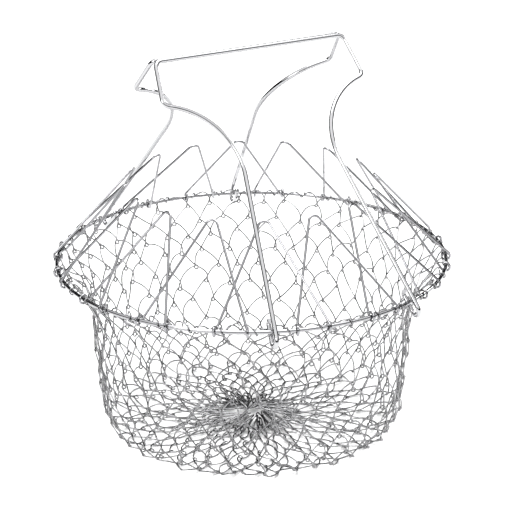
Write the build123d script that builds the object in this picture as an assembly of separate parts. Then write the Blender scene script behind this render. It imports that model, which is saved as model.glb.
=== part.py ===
from build123d import *
import math
import os

# Collapsible round grill basket, millimetres. +Z up, centred on the Z axis, standing on Z = 0.
# The two handles hinge on the -Y and +Y sides of the rim, with their hinge lines parallel to X.

RIM_RADIUS = 115.0          # centre line of the rim ring
RIM_WIRE = 2.4              # wire diameters
HANDLE_WIRE = 2.8
PRONG_WIRE = 1.5
MESH_WIRE = 0.9
DEPTH = 105.0               # rim centre line down to the lowest mesh knots

PRONG_COUNT = 16
PRONG_SPREAD = 15.75        # degrees round the rim from a prong's middle to each foot
PRONG_APEX_RADIUS = 70.0    # where the two legs of a prong would meet
PRONG_APEX_HEIGHT = 52.0    # above the rim
EYE_RADIUS = 2.6            # prong eyes round the rim wire

HANDLE_SPREAD = 22.5        # degrees round the rim from a handle's middle to each foot
HANDLE_LEAN = 40.6          # degrees from upright, leaning in over the basket
HOOK_ARM = 3.4              # hinge line to each arm of a handle's hook
HOOK_DROP = 5.0             # straight length of the hook below the hinge line
HOOK_RISE = 5.0             # free arm of the hook above the hinge line

CELLS = 40                  # mesh cells in every row
WEAVE = 0.7                 # legs of a row lie this far in front of and behind the mesh surface
RING_WEAVE = 1.1            # the same where the last row loops round the centre ring
REACH = 1.3                 # how far each row loops past the knots it shares with the next row
HALF_LOOP = 0.4             # half the width of those loops

# Knot rows from the rim to the middle of the floor: radius and drop below the rim, in rim radii
KNOTS = [
    (1.0, 0.0), (0.945, 0.034), (0.88, 0.10), (0.843, 0.175), (0.824, 0.26), (0.816, 0.352),
    (0.812, 0.453), (0.805, 0.552), (0.797, 0.646), (0.785, 0.727), (0.775, 0.81),
    (0.745, 0.875), (0.67, 0.905), (0.585, 0.915), (0.5, 0.915), (0.415, 0.912),
    (0.33, 0.908), (0.25, 0.903), (0.17, 0.90),
]
DEEPEST = 0.915

Z_RIM = DEPTH + WEAVE + MESH_WIRE / 2
CELL = 360.0 / CELLS

os.makedirs("parts", exist_ok=True)


def polar(radius, angle, z):
    a = math.radians(angle)
    return Vector(radius * math.cos(a), radius * math.sin(a), z)


def wire_solid(line, diameter):
    # Round wire swept along a smooth path
    path = Wire(line.edges())
    section = Wire.make_circle(diameter / 2, Plane(origin=path @ 0, z_dir=path % 0))
    return Solid.sweep(section, path)


def save(solid, node):
    solid.label = node
    export_step(solid, "parts/" + node + ".step")


# Rim ring
save(Pos(0, 0, Z_RIM) * Solid.make_torus(RIM_RADIUS, RIM_WIRE / 2), "rim_ring")


# Handles: one bent wire each, set out upright with the hinge line along X through the origin and
# the front of the basket towards -Y, then leaned in over the basket
def handle_solid():
    foot = Vector(RIM_RADIUS * math.sin(math.radians(HANDLE_SPREAD)), 0)
    waist = Vector(0.263 * RIM_RADIUS, 0.777 * RIM_RADIUS)
    elbow = Vector(0.560 * RIM_RADIUS, 1.198 * RIM_RADIUS)
    corner = Vector(0.525 * RIM_RADIUS, 1.433 * RIM_RADIUS)
    down = (foot - waist).normalized()
    bottom = foot + down * HOOK_DROP
    with BuildLine() as outline:
        leg = Line(bottom, waist)
        TangentArc(waist, elbow, tangent=leg % 1)
        Line(elbow, corner)
        Line(corner, (0, corner.Y))
    outline = Wire(outline.edges())
    bends = [v for v in outline.vertices() if abs(v.X) > 1 and v.Y > 1.1 * RIM_RADIUS]
    outline = outline.fillet_2d(4.5, bends)
    upright = Plane(origin=(0, -HOOK_ARM, 0), x_dir=(1, 0, 0), z_dir=(0, -1, 0))
    outline = upright.from_local_coords(outline)

    # Hook in the plane of the leg and the line across the rim: round the rim, closed at its tip
    along = Vector(down.X, 0, down.Y)
    across = Vector(0, 1, 0)

    def hook_point(drop, over):
        return Vector(foot.X, 0, 0) + along * drop + across * over

    bend = ThreePointArc(hook_point(HOOK_DROP, -HOOK_ARM), hook_point(HOOK_DROP + HOOK_ARM, 0),
                         hook_point(HOOK_DROP, HOOK_ARM))
    arm = Line(hook_point(HOOK_DROP, HOOK_ARM), hook_point(-HOOK_RISE, HOOK_ARM))
    tip = ThreePointArc(hook_point(-HOOK_RISE, HOOK_ARM),
                        hook_point(-HOOK_RISE - 1.414, HOOK_ARM - 0.586),
                        hook_point(-HOOK_RISE - 2.0, HOOK_ARM - 2.0))
    right = outline.edges() + bend.edges() + arm.edges() + tip.edges()
    left = [edge.mirror(Plane.YZ) for edge in right]
    path = Wire(right + left)
    section = Wire.make_circle(HANDLE_WIRE / 2, Plane(origin=path @ 0, z_dir=path % 0))
    hinge_y = RIM_RADIUS * math.cos(math.radians(HANDLE_SPREAD))
    return Pos(0, -hinge_y, Z_RIM) * Rot(-HANDLE_LEAN, 0, 0) * Solid.sweep(section, path)


handle = handle_solid()
save(handle, "handle_front")
save(Rot(0, 0, 180) * handle, "handle_back")


# Prongs: a V of wire whose feet curl round the rim. One leg leaves its eye outside the rim and the
# other inside, so that each prong passes between its neighbours.
def eye_points(angle, first_turn, direction):
    # Corners of a curl of 280 degrees round the rim, starting where the leg leaves it
    points = []
    for step in range(8):
        turn = math.radians(first_turn + direction * 40 * step)
        points.append(polar(RIM_RADIUS + EYE_RADIUS * math.cos(turn), angle,
                            Z_RIM + EYE_RADIUS * math.sin(turn)))
    return points


def prong_solid(middle):
    lean = math.degrees(math.atan2(RIM_RADIUS - PRONG_APEX_RADIUS, PRONG_APEX_HEIGHT))
    outer = eye_points(middle + PRONG_SPREAD, lean, -1)
    inner = eye_points(middle - PRONG_SPREAD, lean + 180, 1)
    apex = polar(PRONG_APEX_RADIUS, middle, Z_RIM + PRONG_APEX_HEIGHT)
    points = list(reversed(outer)) + [apex] + inner
    radii = [2.0] * 6 + [1.5, 3.6, 1.5] + [2.0] * 6
    return wire_solid(FilletPolyline(*points, radius=radii), PRONG_WIRE)


prong = prong_solid(-90.0)
for number in range(PRONG_COUNT):
    turned = Rot(0, 0, number * 360.0 / PRONG_COUNT) * prong
    save(turned, "prong_%02d" % (number + 1))


# Mesh: every row is one wire. Its rising legs lie inside the mesh surface and its falling legs
# outside, so that neighbouring rows clasp each other at the knots.
def knot_frame(index):
    # Position of a knot row in the radius-height plane, with the directions up the mesh and outward
    above = KNOTS[max(index - 1, 0)]
    below = KNOTS[min(index + 1, len(KNOTS) - 1)]
    up = Vector(above[0] - below[0], below[1] - above[1]).normalized()
    radius, drop = KNOTS[index]
    place = Vector(radius * RIM_RADIUS, Z_RIM - drop * DEPTH / DEEPEST)
    return place, up, Vector(up.Y, -up.X)


def mesh_point(index, angle, up_mesh, outward):
    place, up, out = knot_frame(index)
    if index == len(KNOTS) - 1:
        outward *= RING_WEAVE / WEAVE
    spot = place + up * up_mesh + out * outward
    return polar(spot.X, angle, spot.Y)


def loop_angle(index):
    return math.degrees(HALF_LOOP / (KNOTS[index][0] * RIM_RADIUS))


def peak(index, angle):
    if index == 0:
        # Round the rim: under it, up outside it, over it and down inside it
        turn_points = [(0.3, -2.3, -0.55), (2.3, -0.8, -0.4), (1.9, 1.9, -0.2), (-1.9, 1.9, 0.3)]
        return [polar(RIM_RADIUS + out, angle + along, Z_RIM + up) for out, up, along in turn_points]
    half = loop_angle(index)
    return [mesh_point(index, angle - half, REACH, -WEAVE),
            mesh_point(index, angle + half, REACH, WEAVE)]


def valley(index, angle):
    half = loop_angle(index)
    return [mesh_point(index, angle - half, -REACH, WEAVE),
            mesh_point(index, angle + half, -REACH, -WEAVE)]


def mesh_row(row):
    # The wire starts and ends halfway up a leg, where its two ends meet
    first = CELL / 2 * (row % 2)
    points = []
    for cell in range(CELLS):
        angle = first + cell * CELL
        points += peak(row, angle) + valley(row + 1, angle + CELL / 2)
    last, start = points[-1], points[0]
    middle = (last + start) * 0.5
    nudge = (start - last).normalized() * 0.03
    points = [middle + nudge] + points + [middle - nudge]
    return wire_solid(FilletPolyline(*points, radius=0.5), MESH_WIRE)


for row in range(len(KNOTS) - 1):
    save(mesh_row(row), "mesh_row_%02d" % (row + 1))

# Ring that gathers the last row's loops in the middle of the floor
centre, up, out = knot_frame(len(KNOTS) - 1)
save(Pos(0, 0, centre.Y) * Solid.make_torus(centre.X, MESH_WIRE / 2), "centre_ring")
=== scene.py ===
"""Grill basket: round wire-mesh basket with two folding handles and a crown of wire prongs."""

import bpy
import math
import random
from mathutils import Matrix, Vector


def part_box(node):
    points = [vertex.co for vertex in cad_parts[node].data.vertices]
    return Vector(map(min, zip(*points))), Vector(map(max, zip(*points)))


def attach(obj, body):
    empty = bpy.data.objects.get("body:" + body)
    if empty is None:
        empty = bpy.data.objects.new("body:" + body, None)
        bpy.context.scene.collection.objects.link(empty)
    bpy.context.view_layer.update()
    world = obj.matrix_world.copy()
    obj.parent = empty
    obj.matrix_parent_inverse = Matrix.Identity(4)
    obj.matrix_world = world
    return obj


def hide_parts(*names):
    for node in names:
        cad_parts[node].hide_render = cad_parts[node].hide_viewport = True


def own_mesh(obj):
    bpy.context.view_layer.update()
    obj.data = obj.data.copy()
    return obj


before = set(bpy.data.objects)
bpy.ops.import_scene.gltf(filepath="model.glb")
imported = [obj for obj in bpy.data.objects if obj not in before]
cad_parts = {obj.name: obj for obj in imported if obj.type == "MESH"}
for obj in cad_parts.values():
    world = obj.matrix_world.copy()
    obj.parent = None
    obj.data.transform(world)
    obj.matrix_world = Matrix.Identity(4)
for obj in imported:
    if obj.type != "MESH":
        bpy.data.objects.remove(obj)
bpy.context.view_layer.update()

# ---- sizes in metres; the rim's come from the frame
rim_low, rim_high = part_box("rim_ring")
RIM_Z = (rim_low.z + rim_high.z) / 2
RIM_WIRE = (rim_high.z - rim_low.z) / 2
RIM_RADIUS = rim_high.x - RIM_WIRE
MESH_WIRE = 0.00045         # radius, as is RIM_WIRE
DEPTH = 0.105
CELLS = 40
CELL = math.tau / CELLS     # turn from one cell to the next

# Knot rows from the rim to the middle of the floor: radius and drop, in rim radii
KNOTS = [
    (1.0, 0.0), (0.945, 0.034), (0.88, 0.10), (0.843, 0.175), (0.824, 0.26), (0.816, 0.352),
    (0.812, 0.453), (0.805, 0.552), (0.797, 0.646), (0.785, 0.727), (0.775, 0.81),
    (0.745, 0.875), (0.67, 0.905), (0.585, 0.915), (0.5, 0.915), (0.415, 0.912),
    (0.33, 0.908), (0.25, 0.903), (0.17, 0.90),
]
DEEPEST = max(drop for radius, drop in KNOTS)
WALL_ROWS = 11              # rows that shorten when the basket folds; the rest are the floor

# Bends of the mesh wire
EYELET = 0.00095            # radius of the small curls at the knots
EYELET_START, EYELET_SWEEP = 50, 280
EYELET_DROP = 0.0004        # a curl hangs this far below its knot
CURL_SPREAD = 1.15          # a curl's two ends pass beside each other, in wire radii
PEAK_BEND = 0.0009          # half the width of the loop that hooks into a curl
PEAK_RISE = 0.0002
WEAVE = 0.0009              # a loop's ends lie this far in front of and behind the mesh surface
RIM_CLEARANCE = 0.0002
RIM_WRAP = RIM_WIRE + MESH_WIRE + RIM_CLEARANCE
WRAP_START, WRAP_SWEEP = 150, 330
WRAP_PITCH = 0.0028         # the turn round the rim travels this far along it

# Unevenness of hand-bent wire
TURN_WANDER = 0.2           # share of a cell
RISE_WANDER = 0.0019
OUT_WANDER = 0.0012
LEG_BOW = (-0.10, 0.34)     # share of the leg's length
LEG_DISH = 0.0008
RIM_ARCH = (0.003, 0.0065)  # legs of the top row arch up towards the rim
rng = random.Random(7)

# Studio
FLOOR_SIZE = 40.0
SUN_STRENGTH = 2.6
SUN_SPREAD = 115            # degrees: wide, so that bright wire stays darker than the backdrop
LAMPS = (("overhead", (0.2, 0.3, 1.8), 1.2, 30.0),
         ("left", (-1.6, -0.8, 1.2), 0.7, 14.0),
         ("right", (1.6, 0.2, 1.0), 0.5, 9.0))
LAMP_AIM = Vector((0, 0, 0.1))
VIEW_AZIMUTH, VIEW_ELEVATION, VIEW_TILT = -28, 21, -0.5
VIEW_DISTANCE = 10 * RIM_RADIUS


# ---- materials
def drawn_wire_group():
    """Roughness and tiny unevenness that drawn, polished wire has."""
    group = bpy.data.node_groups.new("drawn_wire", "ShaderNodeTree")
    for name, value in (("Polish", 0.1), ("Variation", 0.08), ("Scale", 60.0)):
        socket = group.interface.new_socket(name, in_out="INPUT", socket_type="NodeSocketFloat")
        socket.default_value = value
    group.interface.new_socket("Roughness", in_out="OUTPUT", socket_type="NodeSocketFloat")
    group.interface.new_socket("Height", in_out="OUTPUT", socket_type="NodeSocketFloat")
    nodes, links = group.nodes, group.links
    inputs, outputs = nodes.new("NodeGroupInput"), nodes.new("NodeGroupOutput")
    place = nodes.new("ShaderNodeTexCoord")
    noise = nodes.new("ShaderNodeTexNoise")
    spread = nodes.new("ShaderNodeMath")
    spread.operation = "MULTIPLY"
    total = nodes.new("ShaderNodeMath")
    total.operation = "ADD"
    links.new(place.outputs["Object"], noise.inputs["Vector"])
    links.new(inputs.outputs["Scale"], noise.inputs["Scale"])
    links.new(noise.outputs["Fac"], spread.inputs[0])
    links.new(inputs.outputs["Variation"], spread.inputs[1])
    links.new(spread.outputs[0], total.inputs[0])
    links.new(inputs.outputs["Polish"], total.inputs[1])
    links.new(total.outputs[0], outputs.inputs["Roughness"])
    links.new(noise.outputs["Fac"], outputs.inputs["Height"])
    return group


DRAWN_WIRE = drawn_wire_group()


def steel(name, colour, polish, variation, scale, bump):
    """Polished steel wire with the marks that drawing leaves."""
    material = bpy.data.materials.new(name)
    material.use_nodes = True
    nodes, links = material.node_tree.nodes, material.node_tree.links
    shader = nodes["Principled BSDF"]
    shader.inputs["Base Color"].default_value = (*colour, 1.0)
    shader.inputs["Metallic"].default_value = 1.0
    marks = nodes.new("ShaderNodeGroup")
    marks.node_tree = DRAWN_WIRE
    marks.inputs["Polish"].default_value = polish
    marks.inputs["Variation"].default_value = variation
    marks.inputs["Scale"].default_value = scale
    links.new(marks.outputs["Roughness"], shader.inputs["Roughness"])
    relief = nodes.new("ShaderNodeBump")
    relief.inputs["Strength"].default_value = bump
    relief.inputs["Distance"].default_value = 0.0002
    links.new(marks.outputs["Height"], relief.inputs["Height"])
    links.new(relief.outputs["Normal"], shader.inputs["Normal"])
    return material


RIM_STEEL = steel("polished_rim_wire", (0.36, 0.36, 0.37), 0.08, 0.08, 90.0, 0.08)
HANDLE_STEEL = steel("polished_handle_wire", (0.46, 0.46, 0.47), 0.04, 0.05, 90.0, 0.08)
PRONG_STEEL = steel("prong_wire", (0.30, 0.30, 0.31), 0.06, 0.08, 120.0, 0.08)
MESH_STEEL = steel("mesh_wire", (0.24, 0.24, 0.245), 0.07, 0.06, 150.0, 0.1)


def paint(node, material):
    """Give a CAD piece its steel and smooth faces."""
    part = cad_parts[node]
    part.material_slots[0].material = material
    for face in part.data.polygons:
        face.use_smooth = True


paint("rim_ring", RIM_STEEL)
paint("handle_front", HANDLE_STEEL)
paint("handle_back", HANDLE_STEEL)
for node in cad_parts:
    if node.startswith("prong_"):
        paint(node, PRONG_STEEL)


# ---- mesh
def knot_frame(index):
    """Radius and height of a knot row, with the directions up the mesh and outward."""
    above = KNOTS[max(index - 1, 0)]
    below = KNOTS[min(index + 1, len(KNOTS) - 1)]
    up = Vector((above[0] - below[0], below[1] - above[1])).normalized()
    radius, drop = KNOTS[index]
    place = Vector((radius * RIM_RADIUS, RIM_Z - drop * DEPTH / DEEPEST))
    return place, up, Vector((up.y, -up.x))


def loosen_knots():
    """Each knot sits a little off its even place: turn, up the mesh and outward."""
    wander = {}
    for index in range(len(KNOTS)):
        calm = 0.0 if index == 0 else 1.0
        for cell in range(CELLS):
            wander[index, cell] = (calm * rng.uniform(-TURN_WANDER, TURN_WANDER) * CELL,
                                   calm * rng.uniform(-RISE_WANDER, RISE_WANDER),
                                   calm * rng.uniform(-OUT_WANDER, OUT_WANDER))
    return wander


WANDER = loosen_knots()


class Knot:
    """A place on the mesh, with the directions along the row, up the mesh and outward."""

    def __init__(self, index, half_cells):
        cell = (half_cells // 2) % CELLS
        turn, rise, out = WANDER[index, cell]
        angle = half_cells * CELL / 2 + turn
        place, up, outward = knot_frame(index)
        radial = Vector((math.cos(angle), math.sin(angle), 0.0))
        self.angle = angle
        self.along = Vector((-math.sin(angle), math.cos(angle), 0.0))
        self.up = radial * up.x + Vector((0, 0, up.y))
        self.out = radial * outward.x + Vector((0, 0, outward.y))
        self.spot = radial * place.x + Vector((0, 0, place.y)) + self.up * rise + self.out * out
        self.size = min(1.0, 0.35 + place.x / (0.75 * RIM_RADIUS))

    def at(self, along, up, out):
        return self.spot + self.along * along + self.up * up + self.out * out


def eyelet(knot):
    """Curl at the bottom of a V: in from the left, round the bottom and off to the right."""
    radius = EYELET * knot.size * rng.uniform(0.85, 1.2)
    points = []
    for step in range(11):
        part = step / 10
        turn = math.radians(EYELET_START - EYELET_SWEEP * part)
        points.append(knot.at(radius * math.cos(turn), radius * math.sin(turn) - EYELET_DROP,
                              MESH_WIRE * CURL_SPREAD * (1 - 2 * part)))
    return points


def hook(knot):
    """Rounded top of a V, passed through the curl above it."""
    points = []
    for step in range(5):
        part = step / 4
        turn = math.pi * (1 - part)
        points.append(knot.at(PEAK_BEND * math.cos(turn), PEAK_BEND * math.sin(turn) + PEAK_RISE,
                              WEAVE * (2 * part - 1)))
    return points


def rim_wrap(knot):
    """One turn round the rim wire, in and out over the top of it."""
    radial = Vector((math.cos(knot.angle), math.sin(knot.angle), 0.0))
    centre = radial * RIM_RADIUS + Vector((0, 0, RIM_Z))
    points = []
    for step in range(13):
        part = step / 12
        turn = math.radians(WRAP_START - WRAP_SWEEP * part)
        points.append(centre + radial * RIM_WRAP * math.cos(turn)
                      + Vector((0, 0, RIM_WRAP * math.sin(turn)))
                      + knot.along * WRAP_PITCH * (part - 0.5))
    return points


def leg(start, end, top, bottom, arch):
    """Bowed run of wire between two bends."""
    run = end - start
    side = (top.out + bottom.out).normalized().cross(run.normalized())
    bow = side * rng.uniform(*LEG_BOW) * run.length + top.out * rng.uniform(-LEG_DISH, LEG_DISH)
    first = start + run * 0.3 + bow + Vector((0, 0, arch))
    second = start + run * 0.7 + bow * rng.uniform(0.2, 1.0) + Vector((0, 0, arch * 0.6))
    points = []
    for step in range(1, 7):
        t = step / 7
        points.append(start * (1 - t) ** 3 + first * 3 * t * (1 - t) ** 2
                      + second * 3 * t * t * (1 - t) + end * t ** 3)
    return points


def row_path(row):
    """The whole closed path of one row's wire."""
    first = row % 2
    tops = [Knot(row, first + 2 * cell) for cell in range(CELLS)]
    bottoms = [Knot(row + 1, first + 1 + 2 * cell) for cell in range(CELLS)]
    bends = []
    for top, bottom in zip(tops, bottoms):
        bends.append((top, rim_wrap(top) if row == 0 else hook(top)))
        bends.append((bottom, eyelet(bottom)))
    points = []
    for number, (knot, bend) in enumerate(bends):
        following, next_bend = bends[(number + 1) % len(bends)]
        points += bend
        arch = rng.uniform(*RIM_ARCH) if row == 0 else 0.0
        points += leg(bend[-1], next_bend[0], knot, following, arch)
    return points


def tube(name, paths, radius, material, closed=True):
    """Wire drawn along one or more paths, as a mesh. Nothing sinks below the floor."""
    curve = bpy.data.curves.new(name + "_path", "CURVE")
    curve.dimensions = "3D"
    curve.bevel_depth = radius
    curve.bevel_resolution = 2
    for points in paths:
        spline = curve.splines.new("POLY")
        spline.points.add(len(points) - 1)
        for spot, point in zip(spline.points, points):
            spot.co = (point.x, point.y, max(point.z, radius), 1.0)
        spline.use_cyclic_u = closed
    drawn = bpy.data.objects.new(name + "_path", curve)
    bpy.context.scene.collection.objects.link(drawn)
    current = bpy.context.evaluated_depsgraph_get()
    shape = bpy.data.meshes.new_from_object(drawn.evaluated_get(current))
    bpy.data.objects.remove(drawn)
    bpy.data.curves.remove(curve)
    wire = bpy.data.objects.new(name, shape)
    shape.materials.clear()
    shape.materials.append(material)
    for face in shape.polygons:
        face.use_smooth = True
    bpy.context.scene.collection.objects.link(wire)
    return wire


def knit_mesh():
    """Every row of mesh, riding the rim where it folds and the floor below that."""
    for row in range(len(KNOTS) - 1):
        node = "mesh_row_%02d" % (row + 1)
        wire = tube("knitted_row_%02d" % (row + 1), [row_path(row)], MESH_WIRE, MESH_STEEL)
        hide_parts(node)
        if row < WALL_ROWS:
            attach(wire, "rim")
            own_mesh(wire)
        else:
            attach(wire, "basket_floor")


knit_mesh()


def centre_rosette():
    """Wire gathered in the middle of the floor: long narrow loops that lean over each other."""
    ring = knot_frame(len(KNOTS) - 1)[0]
    paths = []
    for petal in range(CELLS):
        angle = (petal + rng.uniform(-0.3, 0.3)) * CELL
        outer = ring.x * rng.uniform(1.0, 1.5)
        inner = ring.x * rng.uniform(0.12, 0.5)
        twist = rng.uniform(0.2, 0.6)
        lift = rng.uniform(0.0, 0.004)
        loop = []
        for step in range(24):
            part = math.tau * step / 24
            reach = (outer + inner) / 2 + (outer - inner) / 2 * math.cos(part)
            sideways = 0.0016 * math.sin(part) + twist * (outer - reach) * 0.3
            height = ring.y + 0.0005 + lift * math.sin(part / 2) + 0.0006 * math.sin(part)
            radial = Vector((math.cos(angle), math.sin(angle), 0.0))
            along = Vector((-math.sin(angle), math.cos(angle), 0.0))
            loop.append(radial * reach + along * sideways + Vector((0, 0, height)))
        paths.append(loop)
    rosette = tube("centre_rosette", paths, MESH_WIRE, MESH_STEEL)
    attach(rosette, "basket_floor")


centre_rosette()
paint("centre_ring", MESH_STEEL)


# ---- stage
def studio():
    """Pale floor, soft light, and a sky that is dark at the horizon for the steel to reflect."""
    bpy.ops.mesh.primitive_plane_add(size=FLOOR_SIZE, location=(0, 0, 0))
    floor = bpy.context.object
    floor.name = "floor"
    pale = bpy.data.materials.new("pale_floor")
    pale.use_nodes = True
    shader = pale.node_tree.nodes["Principled BSDF"]
    shader.inputs["Base Color"].default_value = (0.95, 0.95, 0.95, 1.0)
    shader.inputs["Roughness"].default_value = 0.9
    floor.data.materials.append(pale)

    world = bpy.data.worlds.new("studio")
    world.use_nodes = True
    nodes, links = world.node_tree.nodes, world.node_tree.links
    direction = nodes.new("ShaderNodeTexCoord")
    split = nodes.new("ShaderNodeSeparateXYZ")
    sky = nodes.new("ShaderNodeValToRGB")
    low_sky, high_sky = sky.color_ramp.elements
    low_sky.position, low_sky.color = 0.55, (0.012, 0.012, 0.014, 1)
    high_sky.position, high_sky.color = 0.95, (0.55, 0.55, 0.56, 1)
    links.new(direction.outputs["Generated"], split.inputs[0])
    links.new(split.outputs["Z"], sky.inputs["Fac"])
    links.new(sky.outputs["Color"], nodes["Background"].inputs["Color"])
    backdrop = nodes.new("ShaderNodeBackground")
    backdrop.inputs["Color"].default_value = (1, 1, 1, 1)
    seen = nodes.new("ShaderNodeLightPath")
    choice = nodes.new("ShaderNodeMixShader")
    links.new(seen.outputs["Is Camera Ray"], choice.inputs["Fac"])
    links.new(nodes["Background"].outputs[0], choice.inputs[1])
    links.new(backdrop.outputs[0], choice.inputs[2])
    links.new(choice.outputs[0], nodes["World Output"].inputs["Surface"])
    bpy.context.scene.world = world

    sun = bpy.data.lights.new("soft_daylight", "SUN")
    sun.energy = SUN_STRENGTH
    sun.angle = math.radians(SUN_SPREAD)
    high = bpy.data.objects.new("soft_daylight", sun)
    high.rotation_euler = (math.radians(12), math.radians(-8), 0)
    bpy.context.scene.collection.objects.link(high)
    for name, place, size, energy in LAMPS:
        lamp = bpy.data.lights.new(name, "AREA")
        lamp.size = size
        lamp.energy = energy
        holder = bpy.data.objects.new(name, lamp)
        holder.location = place
        aim = LAMP_AIM - Vector(place)
        holder.rotation_euler = aim.to_track_quat("-Z", "Y").to_euler()
        bpy.context.scene.collection.objects.link(holder)


def camera():
    """Long lens, looking down at the middle of the rim."""
    azimuth, elevation = math.radians(VIEW_AZIMUTH), math.radians(VIEW_ELEVATION)
    back = Vector((math.sin(azimuth) * math.cos(elevation),
                   -math.cos(azimuth) * math.cos(elevation), math.sin(elevation)))
    lens = bpy.data.cameras.new("camera")
    lens.lens = 136.3
    lens.sensor_width = 36.0
    lens.shift_x = 0.0088
    eye = bpy.data.objects.new("camera", lens)
    turn = back.to_track_quat("Z", "Y").to_matrix().to_4x4()
    spin = Matrix.Rotation(math.radians(VIEW_TILT), 4, "Z")
    eye.matrix_world = Matrix.Translation(Vector((0, 0, RIM_Z)) + back * VIEW_DISTANCE) @ turn @ spin
    bpy.context.scene.collection.objects.link(eye)
    bpy.context.scene.camera = eye


studio()
camera()
bpy.context.scene.view_settings.view_transform = "Standard"
